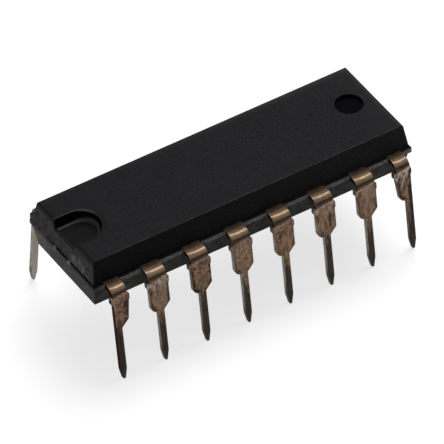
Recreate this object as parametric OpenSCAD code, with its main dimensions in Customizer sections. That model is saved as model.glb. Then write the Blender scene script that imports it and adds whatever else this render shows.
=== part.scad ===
// Sixteen-lead dual in-line integrated circuit in a moulded epoxy package.
// Frame: +X along the package away from the pin 1 end, -Y towards pins 1 to 8, +Z up.
// The origin lies midway between the lead tips, on the plane that they stand on.

/* [Package body] */
// Moulding beyond the centre line of an end lead, over the parting-line land
end_overhang = 0.81; // [0.7:0.01:1.1]
// Width of the moulding over the parting-line land
body_w = 6.4; // [6.1:0.05:7.2]
// Thickness of the moulding above the middle of the lead frame
upper_depth = 1.5; // [1.3:0.05:2.2]
// Thickness of the moulding below the middle of the lead frame
lower_depth = 1.5; // [0.9:0.05:2.2]
// Draft of the long side walls, in degrees
side_draft = 11; // [5:0.5:13]
// Draft of the end walls, in degrees
end_draft = 8; // [3:0.5:10]
// How far the parting-line land stands out from the long side walls
side_land = 0.18; // [0.05:0.01:0.25]
// How far the parting-line land stands out from the end walls
end_land = 0.05; // [0.04:0.01:0.15]
// Corner radius of the land, seen from above
land_corner_r = 0.08; // [0.04:0.02:0.3]
// Radius on the top and underside edges
edge_r = 0.09; // [0.04:0.01:0.15]

/* [Orientation notch] */
// Radius of the notch at the top face
notch_r = 1.14; // [0.8:0.02:1.3]
// How far the notch reaches in from the end edge of the top face
notch_reach = 2.03; // [1.6:0.01:2.6]
// Depth of the notch
notch_depth = 0.55; // [0.3:0.05:0.8]
// Slope of the notch wall, in degrees from upright
notch_slope = 22; // [5:1:30]
// Fillet between the notch wall and its floor
notch_fillet = 0.14; // [0.05:0.01:0.2]

/* [Ejector pin marks] */
// Diameter of the marks that the ejector pins leave
ejector_d = 1.54; // [1:0.02:2]
// Depth of the mark in the top face
top_mark_depth = 0.2; // [0.1:0.05:0.4]
// Distance of the top mark from the end edge of the top face
top_mark_inset = 1.43; // [1.1:0.01:2]
// Distance of the top mark from the centre line of the package
top_mark_offset = 0.2; // [0:0.05:0.6]
// Depth of the two marks in the underside
under_mark_depth = 0.08; // [0.04:0.02:0.3]
// Distance of each underside mark from the middle of the package
under_mark_x = 7; // [6:0.1:8]

/* [Leads] */
// Distance from one lead to the next along a row
pitch = 2.54; // [2.5:0.01:2.6]
// Thickness of the lead frame
lead_t = 0.25; // [0.2:0.01:0.28]
// Width of a lead through the body wall and the bend
neck_w = 1.06; // [0.9:0.02:1.1]
// Width of a lead above its shoulders
wide_w = 1.14; // [1.08:0.02:1.4]
// Reach of an end lead's neck from the lead's centre line, on its one wide side
end_neck = 0.68; // [0.6:0.01:0.72]
// Reach of an end lead's shoulder from the lead's centre line, on its one wide side
end_shoulder = 0.61; // [0.55:0.01:0.72]
// How much further an end lead reaches just under its stub than at its shoulder
end_flare = 0.12; // [0:0.01:0.15]
// Width of the slim pin below the shoulders
pin_w = 0.36; // [0.34:0.01:0.5]
// Length of the slim pin, from its tip to the shoulders
pin_len = 3.2; // [2.6:0.05:3.6]
// Height of the slanted shoulder on the side of a lead away from the notch
shoulder_h = 0.4; // [0.3:0.02:0.5]
// Radius where the slanted shoulder turns up into the lead's edge
shoulder_r = 0.14; // [0.05:0.01:0.16]
// Fillet where the slanted shoulder runs out into the pin
shoulder_fillet = 0.12; // [0.05:0.01:0.16]
// Length of the tapered point
point_len = 0.6; // [0.2:0.05:0.9]
// Width of the blunt end of the point
point_w = 0.12; // [0.08:0.01:0.2]
// Height of the underside above the shoulders
standoff = 0.81; // [0.75:0.02:1.19]
// Straight run between the land and the bend
bend_run = 0.31; // [0.15:0.01:0.6]
// Inside radius of the bend
bend_r = 0.2; // [0.12:0.01:0.3]
// How far each row leans outwards, in degrees
splay = 7; // [3:0.5:11]
// How far the cut dam-bar stub stands out on the side of a lead towards the notch
stub = 0.12; // [0.05:0.01:0.15]
// How far the cut dam-bar stub stands out on the side of a lead away from the notch
short_stub = 0.06; // [0.03:0.01:0.15]
// Height of a dam-bar stub
stub_h = 0.42; // [0.2:0.02:0.5]
// Slope of a stub's broken lower corner, measured along the lead
stub_bevel = 0.14; // [0.05:0.01:0.2]
// Distance from the bend down to the stubs
stub_drop = 0.09; // [0.04:0.01:0.15]

/* [Lead frame inside the moulding] */
// Length of the wide root of a lead, inwards from the land
root_len = 1.0; // [0.9:0.05:1.1]
// Diameter of the locking hole in each root
lock_hole_d = 0.36; // [0.3:0.02:0.44]
// Distance of the locking hole's centre from the edge of the land
lock_hole_inset = 0.48; // [0.44:0.01:0.52]
// Width of an inner lead
finger_w = 0.34; // [0.25:0.01:0.38]
// Clear gap between neighbouring pieces of the frame
frame_gap = 0.2; // [0.15:0.01:0.25]
// Length of the slanted corner where an inner lead turns to the die
fan_corner = 0.7; // [0.3:0.05:0.8]
// Length of the die paddle
paddle_l = 3.6; // [3:0.1:4.5]
// Width of the tie bars that carried the paddle
tie_w = 0.5; // [0.4:0.02:0.6]
// Spacing of the two prongs of each tie bar at the end face
prong_gap = 1.36; // [1:0.02:1.8]
// Width of a prong
prong_w = 0.25; // [0.2:0.01:0.35]

/* [Die and bond wires] */
// Length of the silicon die
die_l = 2.0; // [1.6:0.05:2.4]
// Width of the silicon die
die_w = 1.7; // [1.4:0.05:1.9]
// Thickness of the silicon die
die_t = 0.28; // [0.2:0.01:0.38]
// Thickness of the adhesive under the die
attach_t = 0.03; // [0.02:0.01:0.05]
// How far the adhesive spreads past the die
attach_fillet = 0.08; // [0.03:0.01:0.12]
// Spacing of the bond pads along the die
pad_pitch = 0.4; // [0.3:0.02:0.46]
// Distance of a bond pad from the edge of the die
pad_inset = 0.12; // [0.08:0.01:0.16]
// Diameter of a bond wire
wire_d = 0.034; // [0.025:0.001:0.05]
// Diameter of the ball at the die end of a wire
ball_d = 0.09; // [0.07:0.01:0.12]
// Height of the ball at the die end of a wire
ball_h = 0.045; // [0.03:0.005:0.07]
// Height above the die that a wire's curve is drawn towards
loop_h = 0.6; // [0.45:0.05:0.8]
// Where along its run a wire's curve aims to come level with the lead, from 0 to 1
loop_end = 0.55; // [0.4:0.05:0.75]
// Distance of a wire's stitch from the tip of its inner lead
stitch_inset = 0.22; // [0.15:0.01:0.3]
// Length of the stitch that lies on the inner lead
stitch_len = 0.08; // [0.05:0.01:0.12]

/* [Hidden] */
$fn = 48;
pins_per_row = 8;
pair_count = pins_per_row / 2;

// Heights above the plane of the lead tips
seat_z = pin_len * cos(splay);
underside_z = seat_z + standoff;
frame_z = underside_z + lower_depth;
top_z = frame_z + upper_depth;
frame_top_z = frame_z + lead_t / 2;
die_z = frame_top_z + attach_t;
die_top_z = die_z + die_t;

// Half sizes of the moulding
half_l = (pins_per_row - 1) * pitch / 2 + end_overhang;
half_w = body_w / 2;
top_half_l = half_l - end_land - upper_depth * tan(end_draft);

// The bend, seen along the row
bend_y = half_w + bend_run;
bend_z = frame_z - lead_t / 2 - bend_r;
bend_angle = 90 - splay;
leg_len = (bend_z + bend_r * sin(splay)) / cos(splay);
tip_y = bend_y + bend_r * cos(splay) + leg_len * sin(splay);
stub_top = leg_len - stub_drop;
stub_low = stub_top - stub_h;

// Inner leads run in lanes beside the tie bar; the paddle is as wide as the first two lanes
lane_step = finger_w + frame_gap;
first_lane_y = tie_w / 2 + frame_gap + finger_w / 2;
paddle_half_w = first_lane_y + lane_step + finger_w / 2;
end_tip_x = paddle_l / 2 + frame_gap;
side_tip_y = paddle_half_w + frame_gap;
side_lane_y = side_tip_y + finger_w / 2;
corner_tip_x = pitch / 2 + finger_w / 2 + frame_gap;

arc_steps = 5;
bend_steps = 12;
wire_steps = 7;
wire_sides = 6;

// Each lead is a mirror image of one in the quarter with pin 1.
// Rank 0 is the end lead of a row, rank 3 the one beside the middle of the package.
function row_index(n) = n <= pins_per_row ? n - 1 : 2 * pins_per_row - n;
function rank(n) = min(row_index(n), pins_per_row - 1 - row_index(n));
function lead_x(k) = -(pair_count - k - 0.5) * pitch;

function is_past_middle(n) = row_index(n) >= pair_count;

module to_quarter(n) {
    mirror([is_past_middle(n) ? 1 : 0, 0, 0])
        mirror([0, n > pins_per_row ? 1 : 0, 0])
            children();
}

// Points of an arc about a centre
function arc(centre, r, from, to, steps = arc_steps) =
    [for (i = [0 : steps]) let (a = from + (to - from) * i / steps) centre + r * [cos(a), sin(a)]];

// Outline of the moulding across one direction: drafted walls, the land, and rounded edges
function drafted_wall(half, land, depth, draft) =
    let (
        half_turn = (90 - draft) / 2,
        level_half = half - land - depth * tan(draft),
        c = [level_half - edge_r * tan(half_turn), depth - edge_r]
    )
    concat(
        [[half, lead_t / 2], [half - land - lead_t / 2 * tan(draft), lead_t / 2]],
        arc(c, edge_r, draft, 90)
    );

function flipped(points) = [for (i = [len(points) - 1 : -1 : 0]) [points[i][0], -points[i][1]]];
function opposite(points) = [for (i = [len(points) - 1 : -1 : 0]) [-points[i][0], points[i][1]]];

function section(half, land, draft) =
    let (
        upper = drafted_wall(half, land, upper_depth, draft),
        lower = flipped(drafted_wall(half, land, lower_depth, draft)),
        right = concat(lower, upper)
    )
    concat(right, opposite(right));

module across_package() {
    rotate([90, 0, 90])
        linear_extrude(height = 2 * half_l, center = true)
            polygon(section(half_w, side_land, side_draft));
}

module along_package() {
    rotate([90, 0, 0])
        linear_extrude(height = 2 * half_w, center = true)
            polygon(section(half_l, end_land, end_draft));
}

module land_plan() {
    r = land_corner_r;
    linear_extrude(height = 2 * (upper_depth + lower_depth), center = true)
        polygon(concat(
            arc([half_l - r, half_w - r], r, 0, 90),
            arc([r - half_l, half_w - r], r, 90, 180),
            arc([r - half_l, r - half_w], r, 180, 270),
            arc([half_l - r, r - half_w], r, 270, 360)
        ));
}

// Side wall of the notch, from its floor to just above the top face, with x from the centre line
function notch_wall() =
    let (
        turn = 90 - notch_slope,
        floor_r = notch_r - notch_depth * tan(notch_slope),
        c = [floor_r - notch_fillet * tan(turn / 2), notch_fillet - notch_depth]
    )
    concat(
        arc(c, notch_fillet, -90, -notch_slope),
        [[notch_r + edge_r * tan(notch_slope), edge_r]]
    );

module orientation_notch() {
    centre_x = notch_reach - notch_r - top_half_l;
    wall = notch_wall();
    translate([centre_x, 0, top_z]) {
        rotate_extrude()
            polygon(concat([[0, -notch_depth]], wall, [[0, edge_r]]));
        rotate([90, 0, -90])
            linear_extrude(height = notch_reach)
                polygon(concat(wall, opposite(wall)));
    }
}

module ejector_marks() {
    translate([top_half_l - top_mark_inset, top_mark_offset, top_z - top_mark_depth])
        cylinder(d = ejector_d, h = upper_depth);
    for (side = [-1, 1])
        translate([side * under_mark_x, 0, underside_z - lower_depth + under_mark_depth])
            cylinder(d = ejector_d, h = lower_depth);
}

// Black epoxy, moulded in one shot around the lead frame, the die and its wires
module moulded_body() {
    color([0.13, 0.13, 0.14])
        difference() {
            translate([0, 0, frame_z])
                intersection() {
                    across_package();
                    along_package();
                    land_plan();
                }
            orientation_notch();
            ejector_marks();
            for (n = [1 : 2 * pins_per_row])
                to_quarter(n) inner_lead(rank(n));
            paddle_form();
            attach_form();
            die_form();
            for (n = [1 : 2 * pins_per_row])
                to_quarter(n) wire_form(rank(n));
        }
}

// Where an inner lead's tip lies, seen from above
function finger_tip(k) =
    k == 3 ? [lead_x(k), -side_tip_y]
    : k == 2 ? [-corner_tip_x, -side_lane_y]
    : [-end_tip_x, -first_lane_y - k * lane_step];

// Centre line of an inner lead, from inside its root to its tip beside the paddle
function finger_path(k) =
    let (
        x = lead_x(k),
        wall = [x, side_land - half_w],
        tip = finger_tip(k)
    )
    k == 3
        ? [wall, tip]
        : [wall, [x, tip[1] - fan_corner], [x + fan_corner, tip[1]], tip];

function unit(v) = v / norm(v);
function left_of(v) = [-v[1], v[0]];

// Outline of a strip of even width along a path, with mitred corners
function strip_side(path, side) =
    [for (i = [0 : len(path) - 1])
        let (
            before = unit(path[max(i, 1)] - path[max(i, 1) - 1]),
            after = unit(path[min(i + 1, len(path) - 1)] - path[min(i + 1, len(path) - 1) - 1]),
            mitre = unit(left_of(before) + left_of(after))
        )
        path[i] + side * finger_w / 2 / (mitre * left_of(before)) * mitre];

function strip_outline(path) =
    let (left = strip_side(path, 1), right = strip_side(path, -1))
    concat(left, [for (i = [len(right) - 1 : -1 : 0]) right[i]]);

// Edges of a lead, left and right of its centre line; an end lead is flush on its outer side
function neck_left(k) = k == 0 ? pin_w / 2 : neck_w / 2;
function neck_right(k) = k == 0 ? end_neck : neck_w / 2;
function wide_left(k) = k == 0 ? pin_w / 2 : wide_w / 2;
function wide_right(k) = k == 0 ? end_shoulder : wide_w / 2;
function flare_right(k) = k == 0 ? end_flare : 0;

// Outline of a lead in the plane of the frame, seen from above, out to just past the bend
module flat_outline(k) {
    x = lead_x(k);
    outer_y = bend_y + bend_r + 2 * lead_t;
    root_y = root_len - half_w;
    taper_y = root_y - finger_w / 2;
    neck_middle = x + (neck_right(k) - neck_left(k)) / 2;
    difference() {
        union() {
            polygon([
                [x - neck_left(k), -outer_y],
                [x + neck_right(k), -outer_y],
                [x + neck_right(k), taper_y],
                [x + finger_w / 2, root_y],
                [x - min(finger_w / 2, neck_left(k)), root_y],
                [x - neck_left(k), taper_y]
            ]);
            polygon(strip_outline(finger_path(k)));
        }
        translate([neck_middle, lock_hole_inset - half_w])
            circle(d = lock_hole_d);
    }
}

// The part of a lead that the moulding closes round
module inner_lead(k) {
    translate([0, 0, frame_z - lead_t / 2])
        linear_extrude(height = lead_t)
            flat_outline(k);
}

// Points of a rounded corner at b, on the way from a to c
function rounded_corner(a, b, c, r) =
    let (
        u = unit(a - b),
        v = unit(c - b),
        half = acos(u * v) / 2,
        centre = b + r / sin(half) * unit(u + v),
        first = b + r / tan(half) * u - centre,
        last = b + r / tan(half) * v - centre,
        from = atan2(first[1], first[0]),
        turn = atan2(last[1], last[0]) - from,
        sweep = turn > 180 ? turn - 360 : turn < -180 ? turn + 360 : turn
    )
    arc(centre, r, from, from + sweep);

// One edge of a leg from the point up to the bend: point, pin, shoulder, dam-bar stub and neck.
// The shoulder is a quarter round on the side of a lead towards the notch, and slanted on the other.
function leg_edge(wide, flare, neck, notch_side) =
    let (
        pin_foot = [pin_w / 2, point_len],
        pin_top = [pin_w / 2, pin_len],
        round_r = wide - pin_w / 2,
        shoulder_top = [wide, pin_len + shoulder_h],
        stub_foot = [wide + flare, stub_low],
        stub_edge = wide + flare + (notch_side ? stub : short_stub)
    )
    concat(
        [[point_w / 2, 0], pin_foot],
        round_r <= 0 ? []
        : notch_side ? arc([pin_w / 2, pin_len + round_r], round_r, -90, 0)
        : concat(
            rounded_corner(pin_foot, pin_top, shoulder_top, shoulder_fillet),
            rounded_corner(pin_top, shoulder_top, stub_foot, shoulder_r)
        ),
        [
            stub_foot,
            [stub_edge, stub_low + stub_bevel],
            [stub_edge, stub_top],
            [neck, stub_top + stub_drop / 2],
            [neck, leg_len]
        ]
    );

// Room round a lead's leg in its own plane, square to the strip
module leg_cutter(n) {
    k = rank(n);
    translate([lead_x(k), -tip_y, 0])
        rotate([90 - splay, 0, 0])
            linear_extrude(height = 3 * lead_t, center = true)
                polygon(concat(
                    leg_edge(wide_right(k), flare_right(k), neck_right(k), is_past_middle(n)),
                    opposite(leg_edge(wide_left(k), 0, neck_left(k), !is_past_middle(n)))
                ));
}

module flat_cutter(k) {
    translate([0, 0, bend_z])
        linear_extrude(height = bend_r + 2 * lead_t)
            flat_outline(k);
}

// The bent strip that a whole row is cut from, seen along the row: flat, bend and splayed leg
function strip_profile() =
    let (
        centre = [-bend_y, bend_z],
        outer = bend_r + lead_t,
        toe = lead_t * [-cos(splay), sin(splay)]
    )
    concat(
        [[0, bend_z + outer]],
        arc(centre, outer, 90, 90 + bend_angle, bend_steps),
        [[-tip_y, 0] + toe, [-tip_y, 0]],
        arc(centre, bend_r, 90 + bend_angle, 90, bend_steps),
        [[0, bend_z + bend_r]]
    );

module bent_strip() {
    rotate([90, 0, 90])
        linear_extrude(height = 2 * half_l, center = true)
            polygon(strip_profile());
}

// One lead, stamped from copper alloy strip, trimmed and formed after moulding
module lead(n) {
    color([0.72, 0.58, 0.46])
        to_quarter(n)
            intersection() {
                bent_strip();
                union() {
                    flat_cutter(rank(n));
                    leg_cutter(n);
                }
            }
}

// The paddle and its two tie bars, which part into two prongs at each end face
module paddle_form() {
    fork_x = -lead_x(0) + pin_w / 2 + frame_gap;
    translate([0, 0, frame_z - lead_t / 2])
        linear_extrude(height = lead_t) {
            square([paddle_l, 2 * paddle_half_w], center = true);
            square([2 * (fork_x + prong_w), tie_w], center = true);
            for (x_side = [0, 1])
                mirror([x_side, 0]) {
                    translate([fork_x, -(prong_gap + prong_w) / 2])
                        square([prong_w, prong_gap + prong_w]);
                    for (y_side = [-1, 1])
                        translate([fork_x, (y_side * prong_gap - prong_w) / 2])
                            square([half_l - fork_x, prong_w]);
                }
        }
}

module die_paddle() {
    color([0.75, 0.62, 0.5]) paddle_form();
}

module attach_form() {
    translate([0, 0, frame_top_z + attach_t / 2])
        cube([die_l + 2 * attach_fillet, die_w + 2 * attach_fillet, attach_t], center = true);
}

// Silver-filled adhesive that holds the die to the paddle
module die_attach() {
    color([0.75, 0.75, 0.76]) attach_form();
}

module die_form() {
    translate([0, 0, die_z + die_t / 2])
        cube([die_l, die_w, die_t], center = true);
}

module silicon_die() {
    color([0.35, 0.38, 0.45]) die_form();
}

// Where a lead's bond pad lies on the die, seen from above
function pad(k) =
    k < 2
        ? [pad_inset - die_l / 2, -(k + 0.5) * pad_pitch]
        : [-(pair_count - k - 0.5) * pad_pitch, pad_inset - die_w / 2];

// Where a wire's stitch starts on its inner lead
function stitch(k) = finger_tip(k) + (k == 3 ? [0, -stitch_inset] : [-stitch_inset, 0]);

// A wire's centre line in its own upright plane: up from the ball, over, and flat onto the lead
function wire_path(reach) =
    let (
        end_z = frame_top_z + wire_d / 2 * cos(180 / wire_sides),
        neck = [0, die_top_z + 2 * ball_h],
        over = [0, die_top_z + loop_h],
        down = [loop_end * reach, end_z],
        end = [reach, end_z]
    )
    concat(
        [[0, die_top_z], [0, die_top_z + ball_h], neck],
        [for (i = [1 : wire_steps])
            let (t = i / wire_steps, u = 1 - t)
            u * u * u * neck + 3 * u * u * t * over + 3 * u * t * t * down + t * t * t * end],
        [end + [stitch_len, 0]]
    );

function wire_heading(path, i) =
    i < 3 ? [0, 1]
    : i > len(path) - 3 ? [1, 0]
    : unit(path[i + 1] - path[i - 1]);

// A thin tube swept along a wire's centre line, with the ball at its start
module wire_form(k) {
    from = pad(k);
    along = unit(stitch(k) - from);
    across = left_of(along);
    path = wire_path(norm(stitch(k) - from));
    rings = len(path);
    points = [
        for (i = [0 : rings - 1])
            let (
                heading = wire_heading(path, i),
                side = left_of(heading),
                r = (i < 2 ? ball_d : wire_d) / 2
            )
            for (j = [0 : wire_sides - 1])
                let (
                    a = 360 * j / wire_sides,
                    in_plane = path[i] + r * sin(a) * side,
                    level = from + in_plane[0] * along + r * cos(a) * across
                )
                [level[0], level[1], in_plane[1]]
    ];
    walls = [
        for (i = [0 : rings - 2])
            for (j = [0 : wire_sides - 1])
                let (next = (j + 1) % wire_sides)
                [i * wire_sides + j, (i + 1) * wire_sides + j,
                 (i + 1) * wire_sides + next, i * wire_sides + next]
    ];
    first_cap = [for (j = [0 : wire_sides - 1]) j];
    last_cap = [for (j = [wire_sides - 1 : -1 : 0]) (rings - 1) * wire_sides + j];
    polyhedron(points = points, faces = concat(walls, [first_cap, last_cap]));
}

// Fine gold wire, welded to a pad on the die and to the tip of an inner lead
module bond_wire(n) {
    color([0.95, 0.78, 0.35]) to_quarter(n) wire_form(rank(n));
}

moulded_body();
lead(1);  // lead_01
lead(2);  // lead_02
lead(3);  // lead_03
lead(4);  // lead_04
lead(5);  // lead_05
lead(6);  // lead_06
lead(7);  // lead_07
lead(8);  // lead_08
lead(9);  // lead_09
lead(10);  // lead_10
lead(11);  // lead_11
lead(12);  // lead_12
lead(13);  // lead_13
lead(14);  // lead_14
lead(15);  // lead_15
lead(16);  // lead_16
die_paddle();
die_attach();
silicon_die();
bond_wire(1);  // bond_wire_01
bond_wire(2);  // bond_wire_02
bond_wire(3);  // bond_wire_03
bond_wire(4);  // bond_wire_04
bond_wire(5);  // bond_wire_05
bond_wire(6);  // bond_wire_06
bond_wire(7);  // bond_wire_07
bond_wire(8);  // bond_wire_08
bond_wire(9);  // bond_wire_09
bond_wire(10);  // bond_wire_10
bond_wire(11);  // bond_wire_11
bond_wire(12);  // bond_wire_12
bond_wire(13);  // bond_wire_13
bond_wire(14);  // bond_wire_14
bond_wire(15);  // bond_wire_15
bond_wire(16);  // bond_wire_16
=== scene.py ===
"""A sixteen-lead dual in-line integrated circuit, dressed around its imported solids.

Metres, in the part's own frame: +X along the package away from pin 1, -Y towards pins 1 to 8,
+Z up, and the origin on the plane that the lead tips stand on.
"""
import math
import random

import bmesh
import bpy
from mathutils import Matrix, Vector, noise


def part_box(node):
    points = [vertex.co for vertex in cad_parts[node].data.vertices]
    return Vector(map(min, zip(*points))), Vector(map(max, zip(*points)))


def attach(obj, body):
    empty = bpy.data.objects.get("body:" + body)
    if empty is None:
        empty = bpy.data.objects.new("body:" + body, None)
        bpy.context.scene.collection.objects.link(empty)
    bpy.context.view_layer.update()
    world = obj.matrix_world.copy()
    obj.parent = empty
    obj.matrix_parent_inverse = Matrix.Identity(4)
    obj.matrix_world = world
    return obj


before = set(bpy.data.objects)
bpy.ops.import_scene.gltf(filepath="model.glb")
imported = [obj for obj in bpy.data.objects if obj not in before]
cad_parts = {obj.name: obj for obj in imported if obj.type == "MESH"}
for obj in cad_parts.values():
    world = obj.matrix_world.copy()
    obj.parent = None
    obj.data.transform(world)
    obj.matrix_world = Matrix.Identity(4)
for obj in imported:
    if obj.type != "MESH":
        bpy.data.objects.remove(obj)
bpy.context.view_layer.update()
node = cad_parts
MM = 0.001

# Die paddle and tie bars
# The middle of the lead frame, punched from 0.25 mm copper alloy strip. The pad under the die is
# silver-plated in a bath with a masked edge, and the tie bars that carried it are left bare.
STRIP = 0.25 * MM
FRAME_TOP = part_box("die_paddle")[1].z
PAD_HALF = Vector((1.45, 0.95)) * MM
MASK_EDGE = 0.03 * MM
CUT_START = 9.5 * MM
CUT_END = 9.55 * MM
WELD_REACH = 0.0004 * MM
SHEARED_ANGLE = math.radians(28)
BARE_COPPER = (0.42, 0.2, 0.11, 1)
STAINED_COPPER = (0.24, 0.1, 0.055, 1)
ROLLED_COPPER = (0.55, 0.3, 0.18, 1)
CUT_COPPER = (0.085, 0.08, 0.072, 1)
CUT_STAIN = (0.02, 0.018, 0.017, 1)
SPOT_SILVER = (0.66, 0.66, 0.63, 1)


class Layer:
    """What changes over a surface: a height, a grain, a mask from 0 to 1, or a tone."""

    def __init__(self, finish, socket):
        self.finish = finish
        self.socket = socket

    def __add__(self, other):
        return self.finish.reckon("ADD", self, other)

    def __sub__(self, other):
        return self.finish.reckon("SUBTRACT", self, other)

    def __rsub__(self, other):
        return self.finish.reckon("SUBTRACT", other, self)

    def __mul__(self, other):
        return self.finish.reckon("MULTIPLY", self, other)

    def __truediv__(self, other):
        return self.finish.reckon("DIVIDE", self, other)

    def __abs__(self):
        return self.finish.reckon("ABSOLUTE", self)

    def ramp(self, low, high, at_low=0.0, at_high=1.0):
        """Eases from at_low to at_high as the layer goes from low to high."""
        return self.finish.layer("MapRange", 0, {0: self, 1: low, 2: high, 3: at_low, 4: at_high},
                                 interpolation_type="SMOOTHSTEP")

    def above(self, limit, ease=0.01 * MM):
        """A mask that holds where the layer is above a limit, with a soft border."""
        return self.ramp(limit - ease, limit + ease)

    def under(self, limit, ease=0.01 * MM):
        """A mask that holds where the layer is under a limit, with a soft border."""
        return self.ramp(limit - ease, limit + ease, 1.0, 0.0)


class Finish:
    """A surface finish: the shader it ends in, and the layers that feed the shader."""

    def __init__(self, name):
        self.material = bpy.data.materials.new(name)
        self.material.use_nodes = True
        self.nodes = self.material.node_tree.nodes
        self.links = self.material.node_tree.links
        self.shader = self.nodes["Principled BSDF"]
        self.place = self.add("TexCoord").outputs["Object"]

    def fill(self, socket, value):
        """Sets a socket to a value, or joins it to a layer or to another node's output."""
        if isinstance(value, Layer):
            value = value.socket
        if isinstance(value, bpy.types.NodeSocket):
            self.links.new(value, socket)
        else:
            socket.default_value = value

    def add(self, kind, sockets=None, **settings):
        """A new node of one kind, with its sockets filled."""
        made = self.nodes.new("ShaderNode" + kind)
        for key, value in settings.items():
            setattr(made, key, value)
        for key, value in (sockets or {}).items():
            self.fill(made.inputs[key], value)
        return made

    def layer(self, kind, output, sockets=None, **settings):
        """One output of a new node."""
        return Layer(self, self.add(kind, sockets, **settings).outputs[output])

    def reckon(self, operation, a, b=0.0):
        """One step of arithmetic on layers or numbers."""
        return self.layer("Math", 0, {0: a, 1: b}, operation=operation)

    def split(self, kind, source):
        """The parts of a vector or a colour, each as a layer."""
        return [Layer(self, output) for output in self.add(kind, {0: source}).outputs]

    def position(self):
        """How far along X, Y and Z a spot of the surface lies, in metres."""
        return self.split("SeparateXYZ", self.place)

    def facing(self):
        """How much the surface faces along X, Y and Z, from -1 to 1."""
        return self.split("SeparateXYZ", self.add("TexCoord").outputs["Normal"])

    def grain(self, size, detail=2.0, rough=0.5, stretch=(1, 1, 1), shift=(0, 0, 0)):
        """Noise whose lumps are about so many millimetres across, drawn out along an axis."""
        scale = [1 / (size * MM * s) for s in stretch]
        spot = self.add("Mapping", {"Vector": self.place, "Scale": scale, "Location": shift})
        return self.layer("TexNoise", "Fac", {"Vector": spot.outputs[0], "Scale": 1.0,
                                              "Detail": detail, "Roughness": rough})

    def relief(self, height, depth):
        """Fine relief of so many millimetres from a height of 0 to 1."""
        return self.layer("Bump", 0, {"Height": height, "Distance": depth * MM, "Strength": 1.0})

    def shade(self, **sockets):
        """Fills the shader's sockets, named with underscores for spaces, and gives the material."""
        for key, value in sockets.items():
            self.fill(self.shader.inputs[key.replace("_", " ")], value)
        return self.material


def mix(mask, tone, over):
    """A tone with another laid over it where the mask holds."""
    return mask.finish.layer("Mix", 2, {0: mask, 6: tone, 7: over}, data_type="RGBA")


def give(piece, material):
    """Puts one material on a whole piece."""
    piece.data.materials.clear()
    piece.data.materials.append(material)


def join_faces(piece):
    """Joins a solid's faces again where they meet, and shades it smoothly."""
    for face in piece.data.polygons:
        face.use_smooth = True
    join = piece.modifiers.new("join_faces", "WELD")
    join.merge_threshold = WELD_REACH


def even_shading(piece):
    """Keeps large faces flat beside small ones."""
    even = piece.modifiers.new("even_shading", "WEIGHTED_NORMAL")
    even.keep_sharp = True


def soften_edges(piece, width, steps=2):
    """Rounds a solid's sheared edges by so many millimetres."""
    join_faces(piece)
    ease = piece.modifiers.new("ease_edges", "BEVEL")
    ease.width = width * MM
    ease.segments = steps
    ease.limit_method = "ANGLE"
    ease.angle_limit = SHEARED_ANGLE
    ease.miter_outer = "MITER_ARC"
    even_shading(piece)


plating = Finish("spot_plated_copper")
x, y, z = plating.position()
inside_x = abs(x).ramp(PAD_HALF.x - MASK_EDGE, PAD_HALF.x, 1.0, 0.0)
inside_y = abs(y).ramp(PAD_HALF.y - MASK_EDGE, PAD_HALF.y, 1.0, 0.0)
silvered = inside_x * inside_y * z.ramp(FRAME_TOP - 0.02 * MM, FRAME_TOP - 0.01 * MM)
cut_end = abs(x).ramp(CUT_START, CUT_END)
rolling = plating.grain(0.03, 3, 0.6, stretch=(12, 1, 1))
stain = plating.grain(0.5, 4, 0.6).ramp(0.45, 0.7)
copper = mix(stain, BARE_COPPER, STAINED_COPPER)
copper = mix(rolling.ramp(0.3, 0.7, 0.0, 0.35), copper, ROLLED_COPPER)
copper = mix(cut_end, copper, mix(stain, CUT_COPPER, CUT_STAIN))
give(node["die_paddle"], plating.shade(
    Base_Color=mix(silvered, copper, SPOT_SILVER),
    Metallic=1.0,
    Roughness=rolling.ramp(0.2, 0.8, 0.28, 0.5) + cut_end * 0.2,
    Normal=plating.relief(rolling, 0.002),
))
soften_edges(node["die_paddle"], 0.012)

# Adhesive under the die
# Silver-filled epoxy paste, put down in dots and squeezed out under the die until it shows as a
# thin fillet round it. Its flakes give it a grey, slightly glittering face.
FLAKE = 0.02 * MM
DARK_FLAKE = (0.4, 0.4, 0.41, 1)
BRIGHT_FLAKE = (0.62, 0.62, 0.63, 1)
paste = Finish("silver_filled_paste")
flakes = paste.add("TexVoronoi", {"Vector": paste.place, "Scale": 1 / FLAKE})
flake_tone = paste.split("SeparateColor", flakes.outputs["Color"])[0]
give(node["die_attach"], paste.shade(
    Base_Color=mix(flake_tone, DARK_FLAKE, BRIGHT_FLAKE),
    Metallic=flake_tone.ramp(0.55, 0.7, 0.1, 0.85),
    Roughness=flake_tone.ramp(0.0, 1.0, 0.35, 0.7),
    Normal=paste.relief(paste.grain(0.12, 3, 0.55), 0.01),
))
soften_edges(node["die_attach"], 0.01)

# Silicon die
# A chip sawn from a polished wafer, with rows of circuit cells and their aluminium tracks under a
# glassy coat, and a clear street round the edge where the saw ran.
DIE_LOW, DIE_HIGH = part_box("silicon_die")
DIE_MIDDLE = (DIE_LOW + DIE_HIGH) / 2
DIE_HALF = (DIE_HIGH - DIE_LOW) / 2
STREET = 0.05 * MM
CELL = 0.25 * MM
TRACK = 0.05 * MM
BLUE_CELL = (0.05, 0.09, 0.12, 1)
VIOLET_CELL = (0.12, 0.08, 0.14, 1)
CELL_BORDER = (0.3, 0.32, 0.3, 1)
ALUMINIUM = (0.42, 0.44, 0.42, 1)
BARE_STREET = (0.07, 0.1, 0.09, 1)
SAWN_DARK = (0.07, 0.07, 0.08, 1)
SAWN_LIGHT = (0.16, 0.16, 0.17, 1)


def smaller(a, b):
    return a.finish.reckon("MINIMUM", a, b)


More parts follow.
